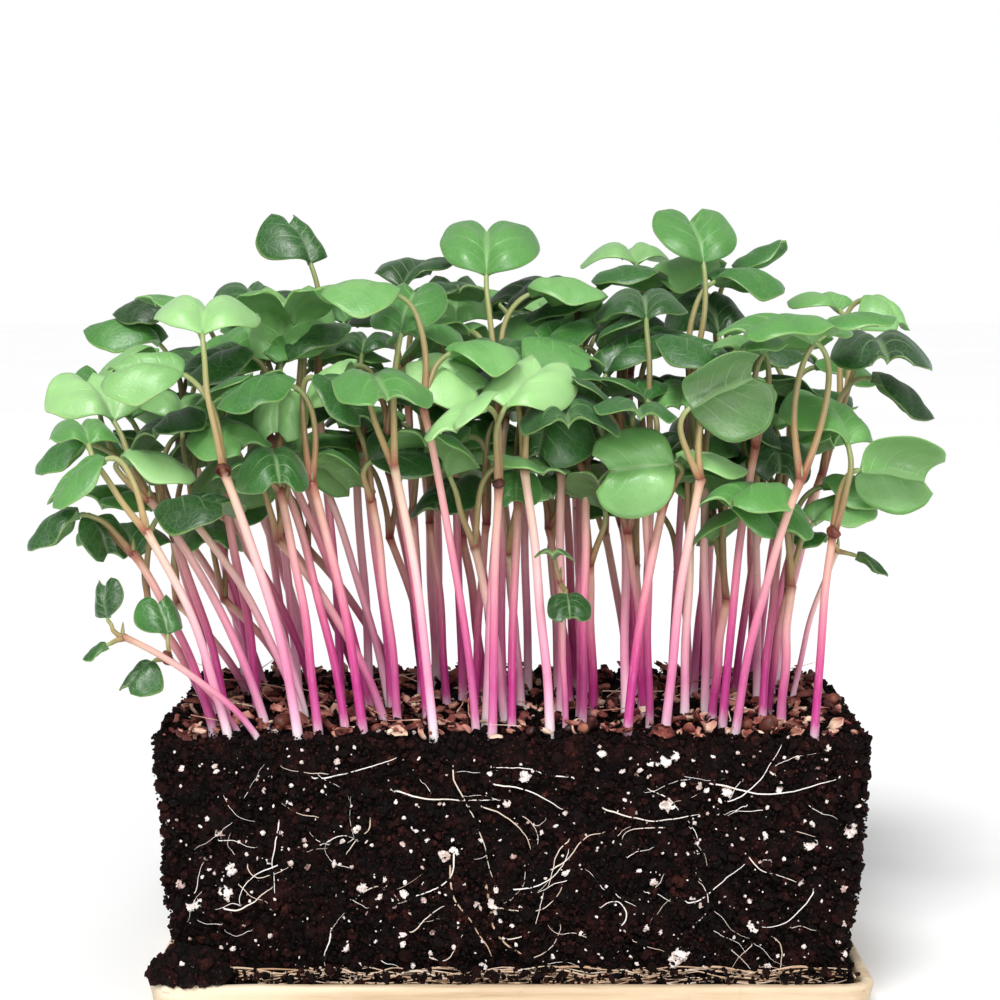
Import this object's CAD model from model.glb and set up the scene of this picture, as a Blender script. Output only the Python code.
"""Looks for the radish microgreens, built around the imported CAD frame.

Shapes are worked out in millimetres in the row frame and scaled to metres when a piece is made. The seedlings
grow from the same numbers, and find room by the same search, as the CAD's do.
"""

from math import cos, pi, radians, sin

import bpy
import bmesh
import numpy as np
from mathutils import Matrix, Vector, noise
from mathutils.kdtree import KDTree


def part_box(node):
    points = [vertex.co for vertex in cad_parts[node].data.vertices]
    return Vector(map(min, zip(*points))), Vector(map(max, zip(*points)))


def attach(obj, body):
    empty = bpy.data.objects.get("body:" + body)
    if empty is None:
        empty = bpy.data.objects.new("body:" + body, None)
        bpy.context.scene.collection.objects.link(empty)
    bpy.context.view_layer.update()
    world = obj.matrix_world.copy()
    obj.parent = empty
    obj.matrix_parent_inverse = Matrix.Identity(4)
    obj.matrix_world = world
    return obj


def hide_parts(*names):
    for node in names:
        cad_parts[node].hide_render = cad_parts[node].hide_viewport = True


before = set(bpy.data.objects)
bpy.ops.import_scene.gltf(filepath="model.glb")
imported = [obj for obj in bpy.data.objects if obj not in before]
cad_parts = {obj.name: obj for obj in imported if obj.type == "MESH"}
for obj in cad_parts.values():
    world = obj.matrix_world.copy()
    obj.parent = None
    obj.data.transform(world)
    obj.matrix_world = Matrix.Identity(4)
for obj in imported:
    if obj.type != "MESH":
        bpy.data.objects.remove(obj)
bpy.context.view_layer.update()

MM = 0.001
GAP = 0.3  # between pieces that touch

# Driving dimensions, in millimetres
TRAY_LENGTH, TRAY_WIDTH, TRAY_HEIGHT = 113.0, 67.0, 6.0
TRAY_FLOOR, TRAY_WALL, TRAY_CORNER, TRAY_DRAFT = 2.5, 2.0, 5.0, 0.6
MAT_THICKNESS = 1.6
BLOCK_LENGTH, BLOCK_WIDTH = 110.0, 60.0
BLOCK_TAPER = 2.6  # how much narrower the block is at its foot, on each side
SOIL_TOP = 43.8
ROUGHNESS = 0.9  # of the broken soil faces
STEM_RADIUS = 0.78
PETIOLE_RADIUS = 0.5
# Between the points that leaves and stems are sampled at: the room wished for, then the least
CLEARANCES = (2.3, 2.1, 1.9, 1.7)
# What a leaf may try to find room: degrees of azimuth and of pitch, and how far it rises
TURNS = [(a, p, z) for z in (0, 2, -2) for p in (0, 15, -15) for a in (0, 15, -15, 30, -30, 45, -45)]
# What a whole seedling may try: steps along x and y, and a further step of its crown along y
STEPS = [(x, y, c) for x in (0, 1.5, -1.5) for c in (0, 3, -3, 6, -6, 9) for y in (0, 1.5, -1.5)]

# A seed leaf's outline, as shares of its length and width, at stations from its base to its notch:
# how far along the midrib, how far out the margin is, and how far along the margin is.
BLADE_STATIONS = ((0.0, 0.05, 0.0), (0.26, 0.42, 0.2), (0.58, 0.49, 0.66), (0.76, 0.2, 1.0))
LENGTH_PER_WIDTH = 0.86
GROOVE, DROOP = 0.07, 0.12  # the midrib's groove and the margins' droop, as shares of the width

# Each seedling: foot (x, y), crown (x, y, z), then its two leaves as the blade's base from the crown
# (x, y, z), the blade's azimuth, pitch, roll and arch in degrees, and its width. Azimuth 0 is +X.
SEEDLINGS = (
    ((-44, -27), (-56, -28, 76), (-6, -1, 11, 200, -25, 0, 40, 11.0), (-9, 2, 13, 110, 35, 0, 50, 10.0)),
    ((-39, -19), (-57, -19, 80), (-4, -2, 8, -20, 5, 0, 50, 12.0), (-6, 4, 12, 130, 45, 0, 40, 13.0)),
    ((-47, -22), (-59, -23, 72), (-8, -1, 6, 188, -10, 0, 60, 9.5), (-7, 3, 7, -70, -30, 0, 30, 8.0)),
    ((-46, -12), (-57, -9, 78), (-11, -1, 10, 184, 5, 0, 75, 10.0), (-10, 4, 17, 100, 60, 0, 30, 9.0)),
    ((-41, -11), (-47, -11, 83), (-4, -5, 9, 205, -10, -20, 45, 11.5), (-2, 4, 6, 140, -20, 0, 40, 10.0)),
    ((-33, -28), (-44, -28, 85), (-3, 0, 21, 95, 50, 0, 75, 14.5), (-6, -1, 15, 190, 20, 25, 60, 12.5)),
    ((-30, -28), (-36, -28, 82), (-1, -1, 6, -75, -15, 0, 50, 10.0), (-4, -1, 5, 190, -5, -20, 40, 8.5)),
    ((-23, -28), (-31, -28, 83), (-3, 0, 15, 185, 15, 0, 70, 13.0), (1, 1, 14, -10, -25, 0, 45, 11.0)),
    ((-26, -25), (-37, -18, 85), (1, -1, 14, -120, -50, 0, 25, 10.5), (0, 7, 16, 85, 65, 0, 30, 15.0)),
    ((-12, -28), (-18, -28, 86), (-4, 0, 13, -70, 10, 0, 60, 13.5), (1, 3, 20, 70, 60, 0, 40, 11.0)),
    ((-7, -26), (-15, -29, 95), (-4, 1, 15, 193, 35, 0, 45, 12.5), (4, 3, 8, 20, 20, 0, 50, 11.0)),
    ((-3, -28), (-2, -28, 83), (1, -1, 14, 65, 55, -15, 30, 14.0), (-2, -2, 12, 200, -5, -20, 45, 11.0)),
    ((6, -25), (2, -22, 85), (3, 3, 15, 20, 20, 0, 55, 11.0), (-2, 5, 17, 108, 45, 0, 50, 11.0)),
    ((0, -24), (1, -18, 80), (0, -1, 4, -95, -45, 0, 30, 6.5), (3, 7, 21, 60, 50, 0, 50, 12.0)),
    ((-4, -20), (-1, -13, 92), (-3, 1, 21, 105, 45, 0, 55, 14.5), (4, 2, 20, 10, 20, 0, 60, 12.5)),
    ((-6, -7), (-4, -7, 75), (-3, -1, 14, 205, -10, -15, 45, 12.0), (2, 3, 17, 10, 25, 0, 50, 12.0)),
    ((8, -11), (8, -11, 84), (-1, -4, 11, -95, -50, 0, 30, 11.5), (4, -2, 13, -50, -55, 0, 25, 9.0)),
    ((11, -16), (12, -8, 86), (-4, 4, 19, 160, 30, 0, 60, 12.5), (2, 5, 20, 60, 40, 0, 55, 12.0)),
    ((17, -14), (17, -8, 89), (-4, -2, 16, 43, 60, 0, 40, 13.5), (-8, 0, 12, 195, -20, 0, 35, 11.0)),
    ((20, -7), (21, -7, 82), (2, 0, 22, -35, 5, 0, 55, 12.5), (-1, 1, 24, 135, 40, 0, 55, 13.5)),
    ((13, 2), (10, 4, 94), (-2, 1, 19, 170, 25, 0, 65, 13.0), (5, 2, 19, 20, 20, 0, 60, 12.0)),
    ((18, -26), (24, -20, 80), (1, -5, 6, 182, -5, 72, 20, 12.5), (2, 1, 6, 5, 5, 0, 40, 11.0)),
    ((24, -25), (29, -24, 84), (-2, -3, 11, 5, 30, 65, 25, 13.0), (2, 3, 15, 40, 40, 0, 45, 11.0)),
    ((28, -13), (29, -9, 72), (5, 0, 22, 10, -20, 0, 40, 12.0), (-2, 2, 24, 150, 20, 0, 50, 12.0)),
    ((31, 5), (35, 6, 83), (0, 2, 22, 100, 50, 0, 50, 13.0), (4, -2, 20, -30, 10, 0, 50, 12.0)),
    ((32, -18), (37, -12, 88), (1, -1, 13, 205, 10, 0, 60, 12.5), (3, 0, 15, 30, 25, 15, 60, 12.5)),
    ((38, 6), (43, 6, 76), (1, -3, 11, 195, -25, -30, 30, 12.0), (3, 3, 16, 20, 30, 0, 50, 12.0)),
    ((35, -23), (44, -22, 84), (2, 1, 21, 175, 15, 0, 70, 14.5), (4, 3, 20, 30, 30, 0, 50, 13.0)),
    ((39, -14), (43, -4, 76), (2, -1, 12, 0, 30, 30, 25, 11.5), (-1, 4, 12, 100, 30, 0, 45, 10.0)),
    ((42, 6), (52, 3, 82), (7, -4, 22, -85, 5, 0, 50, 14.5), (8, 0, 16, 0, -15, 0, 50, 12.0)),
    ((45, -24), (49, -26, 88), (2, 0, 18, 95, 40, 0, 60, 14.5), (-2, 6, 21, 145, 35, 0, 55, 13.5)),
    ((47, -27), (50, -20, 75), (2, -1, 14, 150, 45, -20, 45, 13.5), (4, -1, 10, 15, -5, 60, 25, 13.0)),
    ((46, 15), (57, 15, 91), (4, -1, 20, -10, -5, 0, 75, 9.0), (0, 4, 18, 120, 30, 0, 50, 10.0)),
    ((-28, -4), (-32, 1, 96), (-1, 0, 21, 92, 60, 0, 35, 10.5), (-4, 3, 14, 200, 30, 0, 60, 12.0)),
    ((27, 2), (30, 3, 97), (2, 0, 20, 105, 60, 0, 40, 12.5), (4, 1, 17, 5, 20, 0, 60, 12.0)),
    ((34, 16), (37, 20, 96), (2, 0, 20, 12, 35, 0, 20, 10.0), (-3, 4, 16, 165, 20, 0, 55, 12.0)),
    ((20, 12), (21, 17, 98), (1, 0, 19, 100, 30, 0, 60, 14.0), (4, -4, 15, -60, 15, 0, 50, 12.5)),
    ((-15, 2), (-17, 0, 95), (-1, 0, 18, 60, 35, 0, 50, 12.0), (3, -3, 16, -30, 30, 0, 50, 10.5)),
    ((-36, 4), (-42, 8, 93), (-1, 1, 17, 110, 50, 0, 50, 11.5), (3, -3, 12, -80, 30, 0, 55, 11.0)),
    ((-24, 6), (-27, 9, 92), (-1, -1, 15, 55, 45, 0, 45, 13.0), (-3, 3, 14, 180, 30, 0, 55, 12.0)),
    ((-18, -19), (-22, -19, 80), (0, -2, 6, 30, 15, -35, 30, 11.0), (-3, 3, 12, 160, 30, 0, 50, 11.0)),
    ((-21, -9), (-26, -8, 88), (3, -3, 9, -70, -30, 0, 35, 11.5), (0, 5, 14, 100, 50, 0, 45, 12.0)),
    ((-8, -2), (-10, -3, 93), (1, 1, 14, 95, 60, 0, 50, 12.0), (-2, -4, 12, -110, 20, 0, 50, 11.0)),
    ((3, 8), (2, 10, 92), (-4, 2, 18, 150, 30, 0, 55, 12.5), (4, 0, 17, -20, 20, 0, 55, 12.0)),
    ((-38, 14), (-45, 17, 84), (-5, 0, 16, 190, 20, 0, 60, 12.0), (3, 3, 18, 60, 35, 0, 50, 12.5)),
    ((-12, 20), (-14, 23, 90), (-4, 2, 16, 170, 25, 0, 60, 12.0), (4, 1, 17, 10, 25, 0, 55, 12.0)),
    ((12, 24), (13, 27, 91), (-4, 2, 16, 140, 30, 0, 55, 12.5), (4, 1, 15, 30, 20, 0, 60, 12.0)),
    ((44, 24), (50, 28, 84), (-3, 3, 16, 120, 30, 0, 55, 12.0), (4, -1, 15, -15, 10, 0, 60, 12.0)),
)

# Late seedlings, small and low: the same numbers
LATE_SEEDLINGS = (
    ((-41, -26), (-60, -29, 61), (-2, -1, 3, 110, 75, 60, 15, 6.0), (-2, -2, -1, 185, -30, 0, 20, 4.0)),
    ((-43, -25), (-53, -26, 56), (0, -1, 6, 80, 70, 0, 10, 8.5), (-2, -3, 0, -110, -35, 0, 20, 6.5)),
    ((7, -23), (6, -26, 68), (-1, -2, 4, -95, 20, 0, 25, 5.5), (1, -2, 0, -85, -30, 0, 25, 6.0)),
    ((47, 0), (54, -2, 70), (-2, -2, 2, 170, 10, 0, 30, 6.0), (3, -1, -1, 0, -25, 0, 30, 6.0)),
)

# Seed hulls lying on the soil: x, y and radius
SEED_HULLS = ((-36, -23, 1.5), (40, -26, 1.7), (-14, 4, 1.6), (53, -6, 1.6))


# ---------------------------------------------------------------- where the seedlings grow


def bezier(start, control, end, t):
    """Points of a quadratic curve at each t."""
    t = np.asarray(t, float)[:, None]
    return (1 - t) ** 2 * start + 2 * t * (1 - t) * control + t**2 * end


def spaced(line, count):
    """Points spaced along a line of straight pieces."""
    places = np.linspace(0, len(line) - 1, count)
    return np.transpose([np.interp(places, np.arange(len(line)), column) for column in line.T])


def stem_line(foot, crown):
    """The hypocotyl's centreline: it leaves the soil steeply, then leans to its crown."""
    foot, crown = np.array((*foot, SOIL_TOP), float), np.array(crown, float)
    control = foot + (crown - foot) * (0.3, 0.3, 0.55)
    return bezier(foot, control, crown, np.linspace(0, 1, 6))


def blade_frame(azimuth, pitch, roll):
    """Unit vectors across the blade, along its midrib and out of its upper face."""
    a, p, r = radians(azimuth), radians(pitch), radians(roll)
    along = np.array((cos(a) * cos(p), sin(a) * cos(p), sin(p)))
    across = np.array((sin(a), -cos(a), 0.0))
    face = np.array((-cos(a) * sin(p), -sin(a) * sin(p), cos(p)))
    return np.array((across * cos(r) + face * sin(r), along, face * cos(r) - across * sin(r)))


def blade_points(x, y, lift, arch, width):
    """A blade's points from its base: x across and y along, flat, then grooved, drooped and arched."""
    half = width / 2
    out = np.abs(x) / half
    height = lift + width * (GROOVE * (1 - np.exp(-out / 0.2)) - DROOP * out**2)
    length = width * LENGTH_PER_WIDTH
    bend = radians(arch) / length
    turn = bend * y
    return x, np.sin(turn) / bend + height * np.sin(turn), (np.cos(turn) - 1) / bend + height * np.cos(turn)


def placed_blade(crown, leaf, x, y, lift):
    """Blade points in the frame of the whole part."""
    local = np.transpose(blade_points(x, y, lift, leaf[6], leaf[7]))
    return np.add(crown, leaf[:3]) + local @ blade_frame(*leaf[3:6])


def petiole_line(crown, leaf):
    """The petiole's centreline: up from the crown, then into the line of the midrib."""
    crown = np.array(crown, float)
    base = crown + leaf[:3]
    midrib = blade_frame(*leaf[3:6])[1]
    reach = np.linalg.norm(leaf[:3])
    return bezier(crown, base - midrib * reach * 0.35, base, np.linspace(0, 1, 4))


def blade_samples(leaf):
    """Points spread over a blade, in its own frame."""
    rows, share = np.linspace(3, 0, 9), np.linspace(-1, 1, 9)
    midrib, out, margin = (np.interp(rows, np.arange(4), column) for column in np.transpose(BLADE_STATIONS))
    width, length = leaf[7], leaf[7] * LENGTH_PER_WIDTH
    x = np.multiply.outer(out, share) * width
    y = (midrib[:, None] + (margin - midrib)[:, None] * share**2) * length
    return np.transpose(blade_points(x.ravel(), y.ravel(), 0.0, leaf[6], width))


def tree_of(points):
    tree = KDTree(len(points))
    for number, point in enumerate(points):
        tree.insert(point, number)
    tree.balance()
    return tree


def clear(points, tree, space):
    return all(tree.find(point)[2] > space for point in points)


def fitted_leaf(crown, leaf, tree, own, space):
    """The leaf, turned, raised or made smaller until it clears the tree and its own plant's points."""
    own_tree = tree_of(own)
    for size in (1.0, 0.8):
        leaf = (*leaf[:7], leaf[7] * size)
        blade = blade_samples(leaf)
        for azimuth, pitch, rise in TURNS:
            turned = (*leaf[:2], leaf[2] + rise, leaf[3] + azimuth, leaf[4] + pitch, *leaf[5:])
            placed = np.add(crown, turned[:3]) + blade @ blade_frame(*turned[3:6])
            if not clear(placed, tree, space) or not clear(placed, own_tree, space):
                continue
            petiole = spaced(petiole_line(crown, turned), 16)
            if clear(petiole, tree, space):
                return turned, np.concatenate([petiole, placed])
    return None, None


def fitted_seedling(foot, crown, leaves, step, tree, space):
    """The seedling moved a step, with its leaves turned to fit, and its sampled points; or None."""
    foot = foot[0] + step[0], foot[1] + step[1]
    crown = crown[0] + step[0], crown[1] + step[1] + step[2], crown[2]
    own = spaced(stem_line(foot, crown), 41)
    if not clear(own, tree, space):
        return None
    fitted = []
    for leaf in leaves:
        leaf, points = fitted_leaf(crown, leaf, tree, own[:-3], space)
        if leaf is None:
            return None
        fitted.append(leaf)
        own = np.concatenate([own, points])
    return (foot, crown, *fitted), own


def settle(rows, taken, spaces=CLEARANCES, steps=STEPS):
    """The seedlings as they fit: each steps aside and turns its leaves until they clear the ones before it,
    and one that finds no room is left out. taken holds the points of all that has grown so far."""
    grown = []
    for foot, crown, *leaves in rows:
        tree = tree_of(taken)
        tries = ((step, space) for space in spaces for step in steps)
        found = (fitted_seedling(foot, crown, leaves, step, tree, space) for step, space in tries)
        fitted = next((one for one in found if one), None)
        if fitted:
            grown.append(fitted[0])
            taken = taken + [tuple(point) for point in fitted[1]]
    return grown, taken


# ---------------------------------------------------------------- meshes from arrays

TUBE_SIDE = (1.0, 0.2, 0.0)  # the direction that a tube's points are counted from


def new_piece(name, parts, materials, attributes=None, smooth=True):
    """One mesh piece from (points in mm, faces, material index) parts, with float attributes per point."""
    points = np.concatenate([part[0] for part in parts])
    starts = np.cumsum([0] + [len(part[0]) for part in parts[:-1]])
    corners, sizes, slots = [], [], []
    for (_, faces, slot), start in zip(parts, starts):
        corners.append((np.asarray(faces) + start).ravel())
        sizes.append(np.full(len(faces), faces.shape[1]))
        slots.append(np.full(len(faces), slot))
    corners, sizes, slots = map(np.concatenate, (corners, sizes, slots))
    mesh = bpy.data.meshes.new(name)
    mesh.vertices.add(len(points))
    mesh.vertices.foreach_set("co", (points * MM).astype(np.float32).ravel())
    mesh.loops.add(len(corners))
    mesh.loops.foreach_set("vertex_index", corners.astype(np.int32))
    mesh.polygons.add(len(sizes))
    mesh.polygons.foreach_set("loop_start", (np.cumsum(sizes) - sizes).astype(np.int32))
    mesh.polygons.foreach_set("material_index", slots.astype(np.int32))
    mesh.polygons.foreach_set("use_smooth", np.full(len(sizes), smooth))
    for key, values in (attributes or {}).items():
        layer = mesh.attributes.new(key, "FLOAT", "POINT")
        layer.data.foreach_set("value", np.asarray(values, np.float32))
    for one in materials:
        mesh.materials.append(one)
    mesh.update(calc_edges=True)
    mesh.validate()
    obj = bpy.data.objects.new(name, mesh)
    bpy.context.scene.collection.objects.link(obj)
    return obj


def hand_over(obj, slot, *nodes):
    """The piece rides with the tray, takes its finish from a slot and stands for its CAD nodes."""
    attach(obj, "root")
    if nodes:
        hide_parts(*nodes)
    return obj


def ring_faces(rings, count):
    """Quads between rings of count points each."""
    lower = np.arange((rings - 1) * count).reshape(rings - 1, count)
    ahead = np.roll(lower, -1, axis=1)
    return np.stack([lower, ahead, ahead + count, lower + count], -1).reshape(-1, 4)


def slab_faces(grid):
    """Faces of a thin slab. The grid numbers its upper points, and its lower ones follow in that order."""
    top = np.stack([grid[:-1, :-1], grid[:-1, 1:], grid[1:, 1:], grid[1:, :-1]], -1).reshape(-1, 4)
    edge = np.concatenate([grid[0, :-1], grid[:-1, -1], grid[-1, :0:-1], grid[:0:-1, 0]])
    ahead = np.roll(edge, -1)
    rim = np.stack([edge, edge + grid.size, ahead + grid.size, ahead], -1)
    return np.concatenate([top, top[:, ::-1] + grid.size, rim])


def tube_mesh(line, radii, count=10, flat=1.0):
    """A tube about a line, drawn in to a point at each end: its points and its faces as quads."""
    line, radii = np.asarray(line, float), np.asarray(radii, float)
    tangent = np.gradient(line, axis=0)
    tangent /= np.linalg.norm(tangent, axis=1)[:, None]
    across = np.cross(tangent, TUBE_SIDE)
    across /= np.linalg.norm(across, axis=1)[:, None]
    up = np.cross(tangent, across)
    angle = np.arange(count) * 2 * pi / count
    across_part = across[:, None] * np.cos(angle)[None, :, None]
    wide = across_part + flat * up[:, None] * np.sin(angle)[None, :, None]
    first, last = line[0] - tangent[0] * radii[0] * 0.5, line[-1] + tangent[-1] * radii[-1] * 0.5
    ends = np.repeat([first], count, 0), np.repeat([last], count, 0)
    points = np.concatenate([ends[0], (line[:, None] + radii[:, None, None] * wide).reshape(-1, 3), ends[1]])
    return points, ring_faces(len(line) + 2, count)


def icosphere(subdivisions):
    builder = bmesh.new()
    bmesh.ops.create_icosphere(builder, subdivisions=subdivisions, radius=1.0)
    points = np.array([vertex.co for vertex in builder.verts])
    faces = np.array([[vertex.index for vertex in face.verts] for face in builder.faces])
    builder.free()
    return points, faces


def random_turns(rng, count):
    """Random rotation matrices."""
    q = rng.normal(size=(count, 4))
    q /= np.linalg.norm(q, axis=1)[:, None]
    w, x, y, z = q.T
    return np.stack(
        [
            np.stack([1 - 2 * (y * y + z * z), 2 * (x * y - z * w), 2 * (x * z + y * w)], -1),
            np.stack([2 * (x * y + z * w), 1 - 2 * (x * x + z * z), 2 * (y * z - x * w)], -1),
            np.stack([2 * (x * z - y * w), 2 * (y * z + x * w), 1 - 2 * (x * x + y * y)], -1),
        ],
        1,
    )


def grains(rng, centres, sizes, subdivisions, rough, squash):
    """Irregular grains, one at each centre: their points, faces, and each point's grain's random tone."""
    base, faces = icosphere(subdivisions)
    count = len(centres)
    lumps = rng.normal(size=(count, 3, 3)) * 1.3
    wave = np.sin(np.einsum("vi,nik->nvk", base, lumps) * 2 + rng.uniform(0, 6, (count, 1, 3))).sum(-1)
    local = base[None] * (1 + rough * (0.35 * wave + rng.normal(size=(count, len(base))) * 0.45))[..., None]
    local *= rng.uniform(squash, 1.0, (count, 1, 3))
    turned = np.einsum("nvi,nji->nvj", local, random_turns(rng, count))
    placed = turned * sizes[:, None, None] + centres[:, None]
    offsets = (np.arange(count) * len(base))[:, None, None]
    tone = np.repeat(rng.uniform(size=count), len(base))
    return placed.reshape(-1, 3), (faces[None] + offsets).reshape(-1, faces.shape[1]), tone


class Heap:
    """Meshes with one finish, gathered into one piece, each with a tone."""

    def __init__(self):
        self.parts, self.tones = [], []

    def add(self, points, faces, tone):
        self.parts.append((points, faces, 0))
        self.tones.append(np.broadcast_to(np.asarray(tone, float), len(points)))

    def hand_over(self, name, finish, slot, *nodes, smooth=True):
        tones = {"tone": np.concatenate(self.tones)}
        hand_over(new_piece(name, self.parts, (finish,), tones, smooth), slot, *nodes)


# ---------------------------------------------------------------- materials


class Tree:
    """A short way to write a material's nodes."""

    def __init__(self, name):
        self.material = bpy.data.materials.new(name)
        self.material.use_nodes = True
        self.tree = self.material.node_tree
        self.shader = self.tree.nodes["Principled BSDF"]

    def node(self, kind, inputs=None, **settings):
        made = self.tree.nodes.new("ShaderNode" + kind)
        for key, value in settings.items():
            setattr(made, key, value)
        for key, value in (inputs or {}).items():
            self.put(made.inputs[key], value)
        return made

    def put(self, socket, value):
        if isinstance(value, bpy.types.NodeSocket):
            self.tree.links.new(value, socket)
        else:
            socket.default_value = value

    def finish(self, **inputs):
        for key, value in inputs.items():
            self.put(self.shader.inputs[key.replace("_", " ")], value)
        return self.material

    def math(self, operation, first, second=0.0):
        return self.node("Math", {0: first, 1: second}, operation=operation).outputs[0]

    def plus(self, first, second):
        return self.math("ADD", first, second)

    def minus(self, first, second):
        return self.math("SUBTRACT", first, second)

    def times(self, first, second):
        return self.math("MULTIPLY", first, second)

    def mix(self, share, first, second):
        return self.node("MixRGB", {"Fac": share, "Color1": first, "Color2": second}).outputs[0]

    def ramp(self, share, *stops):
        made = self.node("ValToRGB", {"Fac": share})
        band = made.color_ramp
        while len(band.elements) < len(stops):
            band.elements.new(1.0)
        for element, (place, colour) in zip(band.elements, stops):
            element.position = place
            element.color = (*colour, 1.0)
        return made.outputs["Color"]

    def attribute(self, name):
        return self.node("Attribute", attribute_name=name).outputs["Fac"]

    def where(self):
        return self.node("TexCoord").outputs["Object"]

    def noise(self, scale, detail=4.0, roughness=0.6, vector=None):
        inputs = {"Vector": vector or self.where(), "Scale": scale, "Detail": detail, "Roughness": roughness}
        return self.node("TexNoise", inputs).outputs["Fac"]

    def cells(self, scale, feature="F1"):
        inputs = {"Vector": self.where(), "Scale": scale}
        return self.node("TexVoronoi", inputs, feature=feature).outputs["Distance"]

    def band(self, value, low, high):
        """0 below low, 1 above high, smooth between."""
        inputs = {"Value": value, "From Min": low, "From Max": high}
        return self.node("MapRange", inputs, interpolation_type="SMOOTHSTEP").outputs["Result"]

    def bump(self, height, strength, distance):
        inputs = {"Height": height, "Strength": strength, "Distance": distance * MM}
        return self.node("Bump", inputs).outputs["Normal"]


def soil_material():
    t = Tree("potting_soil")
    crumbs, fine = t.cells(520), t.noise(1500, 6, 0.7)
    tone = t.plus(t.times(t.noise(240, 5, 0.65), 0.8), t.times(t.attribute("tone"), 0.35))
    colour = t.ramp(
        tone,
        (0.40, (0.0008, 0.0001, 0.0001)),
        (0.60, (0.0042, 0.0007, 0.0005)),
        (0.74, (0.0170, 0.0030, 0.0022)),
        (0.88, (0.060, 0.0150, 0.0110)),
    )
    specks = t.band(t.noise(2600, 2, 0.5), 0.66, 0.74)
    colour = t.mix(t.times(specks, 0.75), colour, (0.17, 0.060, 0.048, 1.0))
    height = t.plus(t.times(crumbs, -0.6), fine)
    roughness = t.ramp(fine, (0.3, (0.62,) * 3), (0.7, (0.95,) * 3))
    t.shader.inputs["Specular IOR Level"].default_value = 0.14
    return t.finish(Base_Color=colour, Roughness=roughness, Normal=t.bump(height, 0.9, 0.45))


def perlite_material():
    t = Tree("perlite")
    grain = t.noise(900, 6, 0.65)
    stain = t.plus(t.noise(330, 4), t.times(t.attribute("tone"), 0.25))
    colour = t.ramp(
        stain,
        (0.36, (0.10, 0.045, 0.035)),
        (0.48, (0.46, 0.32, 0.28)),
        (0.60, (0.74, 0.64, 0.60)),
        (0.9, (0.86, 0.82, 0.78)),
    )
    height = t.plus(grain, t.times(t.cells(1400), 0.7))
    return t.finish(Base_Color=colour, Roughness=t.band(grain, -0.4, 1.0), Normal=t.bump(height, 0.7, 0.2))


def root_material():
    t = Tree("root")
    tone = t.plus(t.times(t.noise(160, 4), 0.5), t.times(t.attribute("tone"), 0.7))
    colour = t.ramp(tone, (0.15, (0.42, 0.24, 0.13)), (0.45, (0.66, 0.48, 0.34)), (0.75, (0.86, 0.79, 0.74)))
    t.shader.inputs["Subsurface Weight"].default_value = 0.15
    t.shader.inputs["Subsurface Radius"].default_value = (0.0006, 0.0004, 0.0003)
    t.shader.inputs["Subsurface Scale"].default_value = 1.0
    fine = t.noise(2500, 4)
    return t.finish(Base_Color=colour, Roughness=t.band(fine, -0.6, 1.2), Normal=t.bump(fine, 0.4, 0.06))


def stem_material():
    """White feet, magenta to pale pink stalks, a dark band at the crown, then olive petioles."""
    t = Tree("radish_stem")
    plant, place = t.attribute("plant"), t.attribute("along")
    skin = t.node("UVMap", uv_map="Skin").outputs["UV"]
    streak = t.node("Mapping", {"Vector": skin, "Scale": (5.0, 0.22, 1.0)})
    streaks = t.noise(1.0, 3, 0.6, streak.outputs["Vector"])
    shifted = t.plus(place, t.times(t.minus(streaks, 0.5), 0.10))
    low = t.times(shifted, 0.5)
    vivid = t.ramp(
        low,
        (0.0, (0.80, 0.55, 0.66)),
        (0.03, (0.52, 0.05, 0.26)),
        (0.09, (0.44, 0.020, 0.20)),
        (0.17, (0.52, 0.065, 0.22)),
        (0.26, (0.62, 0.17, 0.27)),
        (0.36, (0.66, 0.31, 0.31)),
        (0.46, (0.60, 0.35, 0.26)),
        (0.475, (0.46, 0.20, 0.13)),
        (0.505, (0.22, 0.035, 0.025)),
        (0.56, (0.30, 0.17, 0.08)),
        (0.80, (0.25, 0.23, 0.09)),
        (1.0, (0.20, 0.30, 0.10)),
    )
    pale = t.ramp(
        low,
        (0.0, (0.92, 0.84, 0.84)),
        (0.035, (0.86, 0.52, 0.64)),
        (0.10, (0.72, 0.26, 0.42)),
        (0.20, (0.80, 0.36, 0.46)),
        (0.32, (0.84, 0.52, 0.50)),
        (0.485, (0.72, 0.52, 0.38)),
        (0.505, (0.36, 0.11, 0.06)),
        (0.56, (0.46, 0.33, 0.15)),
        (1.0, (0.30, 0.38, 0.14)),
    )
    colour = t.mix(t.band(plant, 0.25, 0.95), vivid, pale)
    colour = t.mix(t.times(t.band(streaks, 0.5, 0.8), 0.25), colour, (0.85, 0.62, 0.60, 1.0))
    t.shader.inputs["Subsurface Weight"].default_value = 0.35
    t.shader.inputs["Subsurface Radius"].default_value = (0.0010, 0.0005, 0.0006)
    t.shader.inputs["Subsurface Scale"].default_value = 1.0
    t.shader.inputs["Specular IOR Level"].default_value = 0.45
    fine = t.noise(1800, 3, 0.6)
    return t.finish(Base_Color=colour, Roughness=t.band(fine, -0.9, 2.2), Normal=t.bump(streaks, 0.25, 0.12))


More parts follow.
